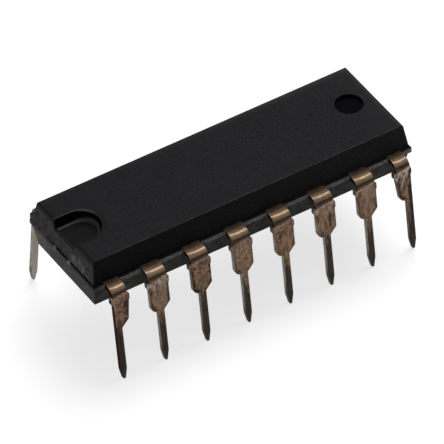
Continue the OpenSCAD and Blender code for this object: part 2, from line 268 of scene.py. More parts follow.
chip = Finish("patterned_silicon")
x, y, z = chip.position()
to_edge = smaller(DIE_HALF.x - abs(x - DIE_MIDDLE.x), DIE_HALF.y - abs(y - DIE_MIDDLE.y))
on_face = z.ramp(DIE_HIGH.z - 0.01 * MM, DIE_HIGH.z - 0.005 * MM)
in_street = to_edge.ramp(STREET, STREET * 1.1, 1.0, 0.0)
cells = chip.layer("TexBrick", "Color", {"Vector": chip.place, "Scale": 1 / CELL, "Color1": BLUE_CELL,
                                         "Color2": VIOLET_CELL, "Mortar": CELL_BORDER,
                                         "Mortar Size": 0.03})
tracks = chip.layer("TexVoronoi", "Distance", {"Vector": chip.place, "Scale": 1 / TRACK},
                    distance="CHEBYCHEV").ramp(0.42, 0.5)
circuit = mix(in_street, mix(tracks, cells, ALUMINIUM), BARE_STREET)
sawn = mix(chip.grain(0.01, 3, 0.6, stretch=(20, 20, 1)), SAWN_DARK, SAWN_LIGHT)
give(node["silicon_die"], chip.shade(
    Base_Color=mix(on_face, sawn, circuit),
    Metallic=0.35,
    Roughness=on_face.ramp(0.0, 1.0, 0.55, 0.16),
    Coat_Weight=0.4,
    Coat_Roughness=0.08,
    Normal=chip.relief(tracks, 0.001),
))
soften_edges(node["silicon_die"], 0.006, 1)

# Bond wires
# Gold wire of 34 micrometres, ball-bonded to the die and stitched to the silver-plated tip of each
# inner lead. The drawing die leaves fine lines along it.
LEADS = range(1, 17)
DEEP_GOLD = (0.78, 0.5, 0.16, 1)
BRIGHT_GOLD = (0.95, 0.7, 0.3, 1)
gold = Finish("drawn_gold")
drawn = gold.grain(0.008, 2, 0.5, stretch=(4, 4, 1))
wire_gold = gold.shade(
    Base_Color=mix(drawn, DEEP_GOLD, BRIGHT_GOLD),
    Metallic=1.0,
    Roughness=drawn.ramp(0.2, 0.8, 0.14, 0.3),
    Normal=gold.relief(drawn, 0.0005),
)
for number in LEADS:
    wire = node[f"bond_wire_{number:02d}"]
    give(wire, wire_gold)
    join_faces(wire)

# Moulded body
# Black silica-filled epoxy, transfer-moulded round the frame in a spark-eroded mould, which gives
# the top its fine matt grain. The lower half and the ends are rougher, and painted greyer as
# painted light from the white card below them.
BODY_LOW, BODY_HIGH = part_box("moulded_body")
TOP = BODY_HIGH.z
FRAME_MIDDLE = FRAME_TOP - STRIP / 2
LAND_HALF = STRIP / 2
LAND_TOP = FRAME_MIDDLE + LAND_HALF
LAND_FOOT = FRAME_MIDDLE - LAND_HALF
LAND_Y = 3.2 * MM
TOP_HALF_WIDTH = 2.728 * MM
TOP_HALF_LENGTH = 9.37 * MM
SIDE_START = 2.7 * MM
END_START = 9.38 * MM
NOTCH_MIDDLE = -8.44 * MM
NOTCH_RADIUS = 1.14 * MM
RING_OUTER = 0.925 * MM
RING_INNER = 0.83 * MM
CREASE_ANGLE = math.radians(24)


def larger(a, b):
    return a.finish.reckon("MAXIMUM", a, b)


epoxy = Finish("matt_moulded_epoxy")
x, y, z = epoxy.position()
nx, ny, nz = epoxy.facing()
off_x, off_y = abs(x), abs(y)
speck = epoxy.grain(0.085, 2, 0.6)
fine = epoxy.grain(0.03, 2, 0.55)
cloud = epoxy.grain(1.6, 3, 0.55)
blotch = epoxy.grain(0.4, 4, 0.6)
pores = epoxy.grain(0.11, 3, 0.65)
sand = epoxy.grain(0.055, 3, 0.7, shift=(4, 4, 4))
lines = epoxy.grain(0.05, 3, 0.6, stretch=(18, 1, 1))
grit = speck.ramp(0.36, 0.68)
coarse = blotch * 0.55 + pores * 0.45

# Where the faces of the moulding lie
lower_half = z.under(LAND_FOOT)
end_wall = off_x.above(END_START) * abs(nx).ramp(0.6, 0.9)
side_wall = off_y.above(SIDE_START) * abs(ny).ramp(0.6, 0.9)
on_land = z.above(LAND_FOOT) * z.under(LAND_TOP) * off_y.above(LAND_Y - 0.02 * MM)
recess = (z.under(TOP - 0.03 * MM) * z.above(FRAME_MIDDLE + 0.4 * MM)
          * off_x.under(END_START - 0.02 * MM) * off_y.under(SIDE_START - 0.1 * MM))
shaded_recess_wall = recess * nz.ramp(0.42, 0.62, 1.0, 0.0)
round_mark = recess * x.above(0.0)

# The top is black, darker at the pin 1 end
TOP_DARK = (0.0042, 0.0038, 0.0047, 1)
TOP_LIGHT = (0.0155, 0.0142, 0.0166, 1)
TOP_CLOUD = (0.016, 0.0148, 0.0168, 1)
PIN_1_END = (0.0045, 0.0044, 0.005, 1)
FAR_END = (0.021, 0.02, 0.021, 1)
tone = mix(grit, TOP_DARK, TOP_LIGHT)
tone = mix(cloud.ramp(0.35, 0.7, 0.0, 0.3), tone, TOP_CLOUD)
tone = mix(x.ramp(-9.0 * MM, 9.0 * MM, 0.28, 0.0), tone, PIN_1_END)
tone = mix(x.ramp(7.0 * MM, 9.4 * MM, 0.0, 0.3), tone, FAR_END)

# The long sides go from black at pin 1 to dark grey; their lower half is painted greyer as
# painted bounce light from the card below, with drag lines
WALL_DARK = (0.0065, 0.0065, 0.0068, 1)
WALL_LIGHT = (0.0125, 0.0125, 0.0125, 1)
FAR_WALL_DARK = (0.019, 0.018, 0.0187, 1)
FAR_WALL_LIGHT = (0.031, 0.0293, 0.0302, 1)
LOWER_BOUNCE_DARK = (0.052, 0.056, 0.054, 1)
LOWER_BOUNCE_LIGHT = (0.118, 0.125, 0.121, 1)
DRAG_LINE = (0.2, 0.21, 0.2, 1)
wall = mix(grit, WALL_DARK, WALL_LIGHT)
far_wall = mix(grit, FAR_WALL_DARK, FAR_WALL_LIGHT)
wall = mix(x.ramp(-9.5 * MM, 9.5 * MM, 0.06, 1.0), wall, far_wall)
tone = mix(side_wall, tone, wall)
lower_with_bounce = mix(blotch.ramp(0.35, 0.65), LOWER_BOUNCE_DARK, LOWER_BOUNCE_LIGHT)
lower_with_bounce = mix(lines.ramp(0.5, 0.72, 0.0, 0.6), lower_with_bounce, DRAG_LINE)
tone = mix(lower_half * side_wall, tone, lower_with_bounce)

# The ends are painted grey as painted light from the card below them, paler still in a patch
# on pin 1's side, pitted, and sandy below the parting line
END_LIT_DARK = (0.017, 0.017, 0.0175, 1)
END_LIT_LIGHT = (0.06, 0.06, 0.061, 1)
PALE_PATCH_DARK = (0.07, 0.07, 0.072, 1)
PALE_PATCH_LIGHT = (0.16, 0.16, 0.165, 1)
PALE_GRAIN = (0.1, 0.1, 0.1, 1)
OPEN_PORE = (0.006, 0.006, 0.006, 1)
FAR_LOW = (0.105, 0.108, 0.088, 1)
SANDY = (0.15, 0.15, 0.147, 1)
PALE_PATCH_MIDDLE = Vector((0, -1.5, 5.95)) * MM
PALE_PATCH_REACH = Vector((0, 1.0, 0.42)) * MM
pale_y = (y - PALE_PATCH_MIDDLE.y) / PALE_PATCH_REACH.y
pale_z = (z - PALE_PATCH_MIDDLE.z) / PALE_PATCH_REACH.z
from_pale = pale_y * pale_y + pale_z * pale_z
pale_marks = from_pale.ramp(0.2, 1.2, 1.0, 0.0) * blotch.ramp(0.36, 0.6, 0.3, 1.0) * x.under(0.0)
lit_end_tone = mix(coarse.ramp(0.36, 0.66), END_LIT_DARK, END_LIT_LIGHT)
lit_end_tone = mix(pale_marks, lit_end_tone, mix(coarse.ramp(0.4, 0.62), PALE_PATCH_DARK, PALE_PATCH_LIGHT))
lit_end_tone = mix(pores.ramp(0.62, 0.72, 0.0, 0.8), lit_end_tone, PALE_GRAIN)
lit_end_tone = mix(pores.ramp(0.36, 0.3, 0.0, 0.8), lit_end_tone, OPEN_PORE)
far_low = z.under(FRAME_MIDDLE, 0.1 * MM) * y.above(1.7 * MM, 0.7 * MM)
lit_end_tone = mix(far_low * blotch.ramp(0.35, 0.6, 0.3, 1.0), lit_end_tone, FAR_LOW)
lit_end_tone = mix(lower_half * sand.ramp(0.56, 0.68, 0.0, 0.9), lit_end_tone, SANDY)
tone = mix(end_wall, tone, lit_end_tone)

# A band of painted shade runs along the top edge of each end, and a line of painted shadow where
# the mould halves met
END_EDGE_SHADE = (0.0045, 0.0045, 0.0048, 1)
PARTING_SHADOW = (0.005, 0.005, 0.005, 1)
wavy_z = z + (blotch - 0.5) * (0.3 * MM)
end_edge_shade = larger(end_wall * wavy_z.above(TOP - 0.26 * MM, 0.09 * MM),
                  off_x.above(TOP_HALF_LENGTH - 0.08 * MM, 0.08 * MM) * z.above(TOP - 0.1 * MM))
tone = mix(end_edge_shade * 0.85, tone, END_EDGE_SHADE)
parting_shadow = (z.above(FRAME_MIDDLE + 0.085 * MM, 0.02 * MM) * z.under(LAND_TOP + 0.02 * MM)
         * off_x.above(BODY_HIGH.x - 0.1 * MM) * larger(x.above(0.0), y.under(1.0 * MM, 0.3 * MM)))
tone = mix(parting_shadow * blotch.ramp(0.3, 0.6, 0.45, 0.95), tone, PARTING_SHADOW)

# The land between the leads is pale where it broke, and dark at the corner by pin 1
BROKEN_DARK = (0.15, 0.15, 0.147, 1)
BROKEN_PALE = (0.42, 0.42, 0.41, 1)
CORNER_DARK = (0.012, 0.012, 0.012, 1)
tone = mix(on_land, tone, mix(pores.ramp(0.35, 0.65), BROKEN_DARK, BROKEN_PALE))
near_corner = (z.under(LAND_TOP) * x.under(-9.2 * MM, 0.3 * MM) * y.under(-2.9 * MM, 0.1 * MM)
               * blotch.ramp(0.3, 0.6, 0.9, 0.6) * nx.ramp(-0.8, -0.5))
tone = mix(near_corner, tone, CORNER_DARK)

# The notch and the ejector marks are painted black as painted shade, with a painted highlight
# ring round the notch's floor
RECESS_SHADE_DARK = (0.0018, 0.0018, 0.0023, 1)
RECESS_SHADE_LIGHT = (0.004, 0.004, 0.0046, 1)
RECESS_WALL_SHADE = (0.0022, 0.0022, 0.0024, 1)
MARK_SHADE_DARK = (0.0028, 0.003, 0.0034, 1)
MARK_SHADE_LIGHT = (0.0062, 0.0066, 0.0074, 1)
FLOOR_RING_HIGHLIGHT = (0.085, 0.085, 0.088, 1)
tone = mix(recess, tone, mix(grit, RECESS_SHADE_DARK, RECESS_SHADE_LIGHT))
tone = mix(shaded_recess_wall, tone, RECESS_WALL_SHADE)
tone = mix(round_mark, tone, mix(grit, MARK_SHADE_DARK, MARK_SHADE_LIGHT))
along = larger(x - NOTCH_MIDDLE, 0.0)
from_notch = epoxy.reckon("SQRT", along * along + y * y)
floor_ring_highlight = (recess * x.under(0.0) * from_notch.under(RING_OUTER, 0.035 * MM)
              * from_notch.above(RING_INNER, 0.06 * MM) * along.ramp(0.2 * MM, 0.9 * MM, 1.0, 0.5))
tone = mix(floor_ring_highlight, tone, FLOOR_RING_HIGHLIGHT)

# The notch's lip has a painted highlight on one side and painted shade on the other, and the
# top's edges carry painted highlights
LIP_HIGHLIGHT = (0.037, 0.037, 0.039, 1)
LIP_SHADE = (0.003, 0.003, 0.0033, 1)
EDGE_HIGHLIGHT = (0.05, 0.049, 0.05, 1)
FAR_EDGE_HIGHLIGHT = (0.036, 0.036, 0.0365, 1)
by_notch = z.above(TOP - 0.035 * MM, 0.004 * MM) * x.under(-6.0 * MM)
lip_highlight = by_notch * from_notch.under(NOTCH_RADIUS + 0.06 * MM, 0.02 * MM)
tone = mix(lip_highlight * y.above(0.3 * MM, 0.4 * MM), tone, LIP_HIGHLIGHT)
lip_shade = by_notch * from_notch.under(NOTCH_RADIUS + 0.14 * MM, 0.12 * MM)
tone = mix(lip_shade * y.under(0.5 * MM, 0.4 * MM) * 0.75, tone, LIP_SHADE)
long_edge_highlight = z.above(TOP - 0.03 * MM) * off_y.above(TOP_HALF_WIDTH - 0.06 * MM, 0.02 * MM)
long_edge_highlight = long_edge_highlight * blotch.ramp(0.3, 0.6, 0.35, 1.0) * speck.ramp(0.3, 0.6, 0.5, 1.0)
tone = mix(long_edge_highlight, tone, EDGE_HIGHLIGHT)
back_edge_highlight = y.ramp(TOP_HALF_WIDTH - 0.5 * MM, TOP_HALF_WIDTH) * x.ramp(-7.0 * MM, 9.0 * MM, 0.25, 1.0)
far_edge_highlight = larger(back_edge_highlight, x.ramp(TOP_HALF_LENGTH - 0.27 * MM, TOP_HALF_LENGTH))
far_edge_highlight = far_edge_highlight * z.above(TOP - 0.02 * MM) * nz.ramp(0.7, 0.9)
tone = mix(far_edge_highlight * speck.ramp(0.3, 0.6, 0.5, 0.85), tone, FAR_EDGE_HIGHLIGHT)

# The recess walls, the parting line and the ejector marks lose their sheen as painted shade
unlit = larger(larger(shaded_recess_wall, parting_shadow), round_mark * 0.9)
surface = speck * 0.6 + fine * 0.4 + larger(end_wall, on_land) * pores
body = node["moulded_body"]
give(body, epoxy.shade(
    Base_Color=tone,
    Roughness=fine.ramp(0.2, 0.8, 0.5, 0.68),
    Specular_IOR_Level=unlit.ramp(0.0, 1.0, 0.04, 0.0),
    Normal=epoxy.relief(surface, 0.008),
))
join_faces(body)
crease = body.modifiers.new("mould_edges", "EDGE_SPLIT")
crease.split_angle = CREASE_ANGLE
even_shading(body)

# Gate scar
# The stub of epoxy that led into the mould was snapped off one end of the body, beside the parting
# line. It left a low, torn patch with a brownish face.
SCAR_Y = (1.1 * MM, 3.14 * MM)
SCAR_Z = (5.2 * MM, 5.86 * MM)
SCAR_COLUMNS = 44
SCAR_ROWS = 18
LUMPS_ACROSS = 9
LUMPS_UP = 4
SCAR_ROOT = 0.012 * MM
SCAR_STEP = 0.014 * MM
SCAR_TEAR = 0.045 * MM
SCAR_SUNK = 0.05 * MM
END_DRAFT = math.tan(math.radians(8))
END_LAND = 0.05 * MM
SCAR_DARK = (0.04, 0.032, 0.045, 1)
SCAR_LIGHT = (0.085, 0.07, 0.082, 1)
SCAR_CREST = (0.15, 0.135, 0.14, 1)
SCAR_PIT = (0.008, 0.007, 0.008, 1)


def end_face(height):
    """How far out the pin 1 end of the moulding stands at a height."""
    drop = abs(height - FRAME_MIDDLE)
    if drop <= LAND_HALF:
        return BODY_LOW.x
    return BODY_LOW.x + END_LAND + drop * END_DRAFT


def torn_height(u, v):
    """How far the torn front stands out of the end face, at shares u and v across the patch."""
    place = Vector((u * LUMPS_ACROSS, v * LUMPS_UP, 0.5))
    inset = 0.16 + 0.14 * noise.noise(place * 0.9)
    from_rim = min(u * 2.6, (1 - u) * 2.6, v, 1 - v)
    rise = min(1.0, max(0.0, (from_rim - inset) * 7))
    torn = 0.5 + 0.5 * noise.fractal(place * 2.3, 0.7, 2.1, 4)
    return rise * (SCAR_STEP + SCAR_TEAR * max(0.0, torn)) - SCAR_ROOT


def torn_patch(name, across, up):
    """A closed patch whose front follows the end face, and sinks into it round the edge."""
    front, back, faces = [], [], []
    for i in range(SCAR_COLUMNS + 1):
        for j in range(SCAR_ROWS + 1):
            u, v = i / SCAR_COLUMNS, j / SCAR_ROWS
            spot_y = across[0] + (across[1] - across[0]) * u
            spot_z = up[0] + (up[1] - up[0]) * v
            front.append((end_face(spot_z) - torn_height(u, v), spot_y, spot_z))
            back.append((end_face(spot_z) + SCAR_SUNK, spot_y, spot_z))
    count = len(front)
    column = SCAR_ROWS + 1
    for i in range(SCAR_COLUMNS):
        for j in range(SCAR_ROWS):
            a = i * column + j
            b = a + column
            faces.append((a, a + 1, b + 1, b))
            faces.append((count + a, count + b, count + b + 1, count + a + 1))
    ring = (list(range(column))
            + [i * column + SCAR_ROWS for i in range(1, SCAR_COLUMNS + 1)]
            + [SCAR_COLUMNS * column + j for j in range(SCAR_ROWS - 1, -1, -1)]
            + [i * column for i in range(SCAR_COLUMNS - 1, 0, -1)])
    for a, b in zip(ring, ring[1:] + ring[:1]):
        faces.append((b, a, count + a, count + b))
    mesh = bpy.data.meshes.new(name)
    mesh.from_pydata(front + back, [], faces)
    return mesh


def add_piece(name, data):
    piece = bpy.data.objects.new(name, data)
    bpy.context.scene.collection.objects.link(piece)
    return piece


scar = add_piece("gate_scar", torn_patch("gate_scar", SCAR_Y, SCAR_Z))
torn_epoxy = Finish("torn_epoxy")
crumbling = torn_epoxy.grain(0.07, 4, 0.65)
tint = torn_epoxy.grain(0.28, 3, 0.55)
scar_tone = mix(tint.ramp(0.38, 0.62), SCAR_DARK, SCAR_LIGHT)
scar_tone = mix(crumbling.ramp(0.55, 0.72), scar_tone, SCAR_CREST)
scar_tone = mix(crumbling.ramp(0.42, 0.34), scar_tone, SCAR_PIT)
give(scar, torn_epoxy.shade(
    Base_Color=scar_tone,
    Roughness=crumbling.ramp(0.3, 0.7, 0.6, 0.85),
    Specular_IOR_Level=0.08,
    Normal=torn_epoxy.relief(crumbling, 0.02),
))
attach(scar, "root")

# Resin crumbs
# Epoxy that squeezed out beside the leads and broke when the dam bars were cut. Small crumbs of it
# cling to the edges of the land between the leads.
PITCH = 2.54 * MM
CRUMB_CHANCE = 0.75
FROM_LEAD = (0.62 * MM, 0.74 * MM)
CRUMB_LENGTH = (0.04 * MM, 0.09 * MM)
CRUMB_DEPTH = (0.02 * MM, 0.045 * MM)
CRUMB_HEIGHT = (0.03 * MM, 0.07 * MM)
CRUMB_DARK = (0.07, 0.07, 0.072, 1)
CRUMB_LIGHT = (0.21, 0.21, 0.208, 1)
crumbs = random.Random(7)


def crumb_mesh(places):
    """Knobbly lumps, each half sunk in the land."""
    made = bmesh.new()
    for centre, size in places:
        shift = Vector((crumbs.random(), crumbs.random(), crumbs.random())) * 20
        lump = bmesh.ops.create_icosphere(made, subdivisions=3, radius=1.0)
        for vert in lump["verts"]:
            swell = (1 + 0.45 * noise.noise(vert.co * 1.3 + shift)
                     + 0.15 * noise.noise(vert.co * 3.7 + shift))
            vert.co = Vector(centre) + Vector([c * s * swell for c, s in zip(vert.co, size)])
    mesh = bpy.data.meshes.new("resin_crumbs")
    made.to_mesh(mesh)
    made.free()
    for face in mesh.polygons:
        face.use_smooth = True
    return mesh


# Two larger crumbs lie between leads 1 and 2, and the others where chance puts them
places = [((-7.52 * MM, -LAND_Y, LAND_TOP), (0.13 * MM, 0.03 * MM, 0.05 * MM)),
          ((-7.08 * MM, -LAND_Y, LAND_TOP), (0.1 * MM, 0.035 * MM, 0.06 * MM))]
for gap in range(-3, 4):
    for row in (-1, 1):
        for side in (-1, 1):
            if crumbs.random() < CRUMB_CHANCE:
                x_at = gap * PITCH + side * (PITCH / 2 - crumbs.uniform(*FROM_LEAD))
                z_at = FRAME_MIDDLE + crumbs.choice((-1, 1)) * LAND_HALF * crumbs.uniform(0.5, 1.0)
                size = (crumbs.uniform(*CRUMB_LENGTH), crumbs.uniform(*CRUMB_DEPTH),
                        crumbs.uniform(*CRUMB_HEIGHT))
                places.append(((x_at, row * LAND_Y, z_at), size))
bits = add_piece("resin_crumbs", crumb_mesh(places))
broken_epoxy = Finish("broken_epoxy")
chips = broken_epoxy.grain(0.06, 3, 0.6)
give(bits, broken_epoxy.shade(
    Base_Color=mix(chips.ramp(0.35, 0.65), CRUMB_DARK, CRUMB_LIGHT),
    Roughness=chips.ramp(0.3, 0.7, 0.55, 0.8),
    Specular_IOR_Level=0.08,
    Normal=broken_epoxy.relief(chips, 0.01),
))
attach(bits, "root")

# Leads
# Copper alloy strip, plated, cut free of the dam bars and bent down over an anvil, which burnishes
# the bend. Handling and storage have tarnished the plating, most of all down the slim pins.

# A lead in millimetres: how high its flat leg and its pin reach, and the half widths of both
LEG_TOP = 5.22
PIN_TOP = 3.2
WIDE_HALF = 0.57
PIN_HALF = 0.18
PITCH_MM = PITCH / MM
# A lead's own wear, and lead 16's painted shade, reach the material through its object colour
# and its index
DARK_SCALE = 5.0
FULL_STAIN = 100
SHADED_BEND_INDEX = 200
lead_metal = Finish("tarnished_plating")
x, y, z = lead_metal.position()
nx, ny, nz = lead_metal.facing()
lead_info = lead_metal.add("ObjectInfo").outputs
spotting, dark_from, scuffing = lead_metal.split("SeparateColor", lead_info["Color"])
outlined = Layer(lead_metal, lead_info["Alpha"])
side_mark = Layer(lead_metal, lead_info["Object Index"])
streak = lead_metal.grain(0.05, 3, 0.6, stretch=(1, 12, 12))
wide_streak = lead_metal.grain(0.12, 3, 0.6, stretch=(1, 7, 7))
slant_streak = lead_metal.grain(0.2, 4, 0.65, stretch=(1, 2.4, 2.4), shift=(2, 5, 1))
spots = lead_metal.grain(0.2, 4, 0.6, stretch=(1, 1.5, 1.5))
patch = lead_metal.grain(0.5, 3, 0.6)
blush = lead_metal.grain(0.6, 3, 0.6, shift=(8, 2, 5))
pitting = lead_metal.grain(0.03, 2, 0.6)
mottle = wide_streak * 0.5 + lead_metal.grain(0.13, 4, 0.7) * 0.5

# Where a spot lies across its lead, how high it is, and how high along a line that rises to the right
row_place = x / MM
height = z / MM
across = lead_metal.reckon("FLOORED_MODULO", row_place, PITCH_MM) - PITCH_MM / 2
off_middle = abs(across)
slanting = height - across * 0.14 + (spots - 0.5) * 0.25
on_leg = slanting.under(LEG_TOP, 0.05)

# The leg is tan and mottled, and the strip above it brown from rolling
TAN_DARK = (0.09, 0.054, 0.033, 1)
TAN_LIGHT = (0.235, 0.154, 0.095, 1)
TAN_PATCH = (0.165, 0.124, 0.086, 1)
ROLLED_DARK = (0.115, 0.075, 0.047, 1)
ROLLED_LIGHT = (0.165, 0.11, 0.071, 1)
BLUSH = (0.215, 0.133, 0.098, 1)
rolled = mix(wide_streak.ramp(0.2, 0.8), ROLLED_DARK, ROLLED_LIGHT)
metal = mix(on_leg, rolled, mix(mottle.ramp(0.4, 0.6), TAN_DARK, TAN_LIGHT))
metal = mix(patch.ramp(0.42, 0.66, 0.0, 0.6), metal, TAN_PATCH)
metal = mix(on_leg * blush.ramp(0.5, 0.66, 0.0, 0.5), metal, BLUSH)

# The wide part darkens towards its cut edges, and rust and brown spots lie over it
EDGE_DARKENING = (0.022, 0.011, 0.008, 1)
RUST = (0.075, 0.029, 0.018, 1)
BROWN = (0.026, 0.013, 0.009, 1)
to_side = WIDE_HALF - off_middle
to_shoulder = (height - PIN_TOP) - (off_middle - PIN_HALF)
inward = smaller(to_side, to_shoulder * 0.7) - (spots - 0.44) * 0.7
edge_darkening = (inward.ramp(0.03, 0.13, 1.0, 0.0) * height.ramp(PIN_TOP, PIN_TOP + 0.1)
         * height.ramp(4.7, 5.0, 1.0, 0.0) * outlined)
metal = mix(edge_darkening, metal, EDGE_DARKENING)
rust = lead_metal.grain(0.33, 4, 0.6, stretch=(1, 1.6, 1.6), shift=(3, 1, 7)) + spotting * 0.14
metal = mix(on_leg * rust.ramp(0.6, 0.78, 0.0, 0.85), metal, RUST)
brown = (spots + spotting * 0.1).ramp(0.61, 0.76) * on_leg.ramp(0.0, 1.0, 0.25, 0.72)
metal = mix(brown, metal, BROWN)

# The largest single marks of leads 1 to 8: place along the row, height, reach across and up, all in
# millimetres, then lean, tone and strength
RED = (0.085, 0.03, 0.02, 1)
DARK = (0.022, 0.013, 0.01, 1)
PURPLE = (0.06, 0.034, 0.042, 1)
AMBER = (0.24, 0.13, 0.06, 1)
SILVER = (0.4, 0.375, 0.34, 1)
MARKS = [
    (-8.68, 4.72, 0.12, 0.24, 0.8, RED, 0.8),
    (-8.72, 4.2, 0.2, 0.08, 1.0, RED, 0.8),
    (-8.85, 3.45, 0.14, 0.4, 0.0, RED, 0.8),
    (-6.9, 4.94, 0.22, 0.07, 0.0, SILVER, 0.6),
    (-6.35, 4.99, 0.2, 0.06, 0.0, SILVER, 0.5),
    (-3.62, 4.99, 0.36, 0.1, 0.0, PURPLE, 0.9),
    (-3.55, 4.86, 0.16, 0.07, 0.0, RED, 0.9),
    (-4.17, 4.8, 0.08, 0.08, 0.0, DARK, 0.9),
    (-4.28, 3.95, 0.08, 0.1, 0.0, DARK, 0.9),
    (-1.72, 5.02, 0.09, 0.07, 0.0, DARK, 0.8),
    (-1.2, 4.4, 0.22, 0.3, 0.0, AMBER, 0.45),
    (1.06, 4.58, 0.13, 0.2, 0.7, RED, 0.9),
    (1.0, 4.4, 0.08, 0.1, 0.7, DARK, 0.7),
    (4.03, 4.15, 0.08, 0.48, 0.0, DARK, 0.85),
    (3.88, 4.6, 0.12, 0.25, 0.0, AMBER, 0.5),
    (3.32, 4.5, 0.07, 0.25, 0.0, RED, 0.8),
    (5.8, 4.3, 0.06, 0.45, 0.0, DARK, 0.85),
    (5.92, 4.8, 0.09, 0.13, 0.0, RED, 0.9),
    (6.42, 4.0, 0.1, 0.32, 0.4, RED, 0.4),
    (8.42, 4.45, 0.06, 0.42, 0.4, DARK, 0.75),
    (8.25, 4.75, 0.05, 0.3, 0.4, SILVER, 0.6),
    (8.55, 4.45, 0.05, 0.45, 0.4, SILVER, 0.5),
    (8.72, 4.3, 0.06, 0.5, 0.3, DARK, 0.7),
    (9.07, 3.4, 0.24, 3.2, 0.0, DARK, 0.95),
]
pins_1_to_8 = y.ramp(-0.1 * MM, 0.1 * MM, 1.0, 0.0)
blur = (spots - 0.5) * 3.0


def mark_mask(at, up, reach_across, reach_up, lean):
    """A soft, ragged oval on the legs of leads 1 to 8."""
    rise = height - up
    aside = (row_place - at - rise * lean) / reach_across
    rise = rise / reach_up
    away = aside * aside + rise * rise
    return (away + blur).ramp(0.4, 1.5, 1.0, 0.0) * pins_1_to_8 * on_leg


for *oval, mark_tone, strength in MARKS:
    metal = mix(mark_mask(*oval) * strength, metal, mark_tone)

# The foot of the bend has a forming stain with a painted dark reflection over it, and the strip
# has painted shade where it leaves the moulding
BEND_FOOT_STAIN_AND_REFLECTION = (0.068, 0.043, 0.028, 1)
SHADED = (0.045, 0.03, 0.019, 1)
bend_foot_stain_and_reflection = (slanting.ramp(LEG_TOP - 0.06, LEG_TOP + 0.05) * height.ramp(5.4, 5.55, 1.0, 0.0)
         * across.ramp(-0.5, 0.5, 1.0, 0.7) * patch.ramp(0.3, 0.7, 0.7, 1.0))
metal = mix(bend_foot_stain_and_reflection, metal, BEND_FOOT_STAIN_AND_REFLECTION)
metal = mix(abs(y).ramp(LAND_Y, LAND_Y + 0.3 * MM, 0.75, 0.0), metal, SHADED)

# Below the bend the plating is scuffed, with a scraped line where the anvil's edge bore on it
SCUFFED = (0.35, 0.305, 0.28, 1)
SCRAPED = (0.42, 0.37, 0.34, 1)
scuff_zone = ((slanting + scuffing * 0.9).ramp(4.9, 5.7)
              * slanting.ramp(LEG_TOP - 0.04, LEG_TOP + 0.02, 1.0, 0.0))
pale_marks = streak * 0.3 + slant_streak * 0.7
metal = mix(scuff_zone * scuffing * pale_marks.ramp(0.49, 0.63), metal, SCUFFED)
scraped = (scuffing * slanting.ramp(LEG_TOP - 0.16, LEG_TOP - 0.08)
           * slanting.ramp(LEG_TOP - 0.05, LEG_TOP, 1.0, 0.0) * streak.ramp(0.4, 0.6))
metal = mix(scraped, metal, SCRAPED)

# The pin is nearly black up to a height of its own, with a wandering border
PIN_DARK = (0.014, 0.011, 0.009, 1)
PIN_LIGHT = (0.036, 0.03, 0.026, 1)
PIN_PIT = (0.1, 0.085, 0.075, 1)
wander = (wide_streak - 0.5) * 4.5
below_line = dark_from * DARK_SCALE + wander - height
dark_pin = below_line.ramp(-0.3, 0.4, 0.0, 0.94) * height.ramp(3.45, 3.9, 1.0, 0.0)
pin_tone = mix(streak.ramp(0.3, 0.7), PIN_DARK, PIN_LIGHT)
pin_tone = mix(pitting.ramp(0.64, 0.74, 0.0, 0.5), pin_tone, PIN_PIT)
metal = mix(dark_pin, metal, pin_tone)

# The sheared sides are grey and stained on some leads, with painted shade up by the bend, and the
# inner faces are painted lighter as a painted reflection of the lit card
CUT_DARK = (0.13, 0.11, 0.09, 1)
CUT_LIGHT = (0.27, 0.24, 0.2, 1)
BEND_SIDE_SHADE_DARK = (0.016, 0.012, 0.01, 1)
BEND_SIDE_SHADE_LIGHT = (0.12, 0.1, 0.085, 1)
SIDE_STAIN = (0.02, 0.013, 0.012, 1)
INNER_REFLECTION_DARK = (0.2, 0.178, 0.15, 1)
INNER_REFLECTION_LIGHT = (0.31, 0.28, 0.245, 1)
sheared = abs(nx).ramp(0.55, 0.8)
cut_face = mix(spots.ramp(0.35, 0.65), CUT_DARK, CUT_LIGHT)
bend_side_shade = mix(streak.ramp(0.4, 0.7), BEND_SIDE_SHADE_DARK, BEND_SIDE_SHADE_LIGHT)
cut_face = mix(height.ramp(4.0, 4.8), cut_face, bend_side_shade)
cut_face = mix(height.ramp(0.7, 1.5, 0.8, 0.0), cut_face, pin_tone)
side_stain = side_mark.ramp(0, FULL_STAIN) * side_mark.ramp(FULL_STAIN, SHADED_BEND_INDEX, 1.0, 0.0)
cut_face = mix(side_stain, cut_face, SIDE_STAIN)
metal = mix(sheared, metal, cut_face)
outward = lead_metal.reckon("SIGN", y) * ny
metal = mix(outward.ramp(-0.9, -0.7, 1.0, 0.0), metal, mix(streak, INNER_REFLECTION_DARK, INNER_REFLECTION_LIGHT))

# Lead 16 gets painted shade over its bend and its outer shoulder
BEND_SHADE = (0.02, 0.016, 0.013, 1)
outer_shoulder = across.ramp(-0.2, -0.1, 1.0, 0.0) * height.ramp(4.85, 5.0)
bend_shade_reach = (height + wander).ramp(4.5, 5.2, 0.0, 0.95)
metal = mix(side_mark.ramp(FULL_STAIN, SHADED_BEND_INDEX) * larger(bend_shade_reach, outer_shoulder), metal, BEND_SHADE)

WHITE = (1, 1, 1, 1)
DULLED = (0.45, 0.4, 0.4, 1)
worn = streak * 0.5 + pitting * 0.5
plate_rough = height.ramp(5.2, 5.52, 0.46, 0.29) + nz.ramp(0.97, 0.995) * 0.36
lead_plating = lead_metal.shade(
    Base_Color=metal,
    Metallic=1.0,
    Specular_Tint=mix(sheared * side_stain, WHITE, DULLED),
    Roughness=plate_rough + worn.ramp(0.3, 0.7, -0.05, 0.07),
    Normal=lead_metal.relief(worn, 0.003),
)

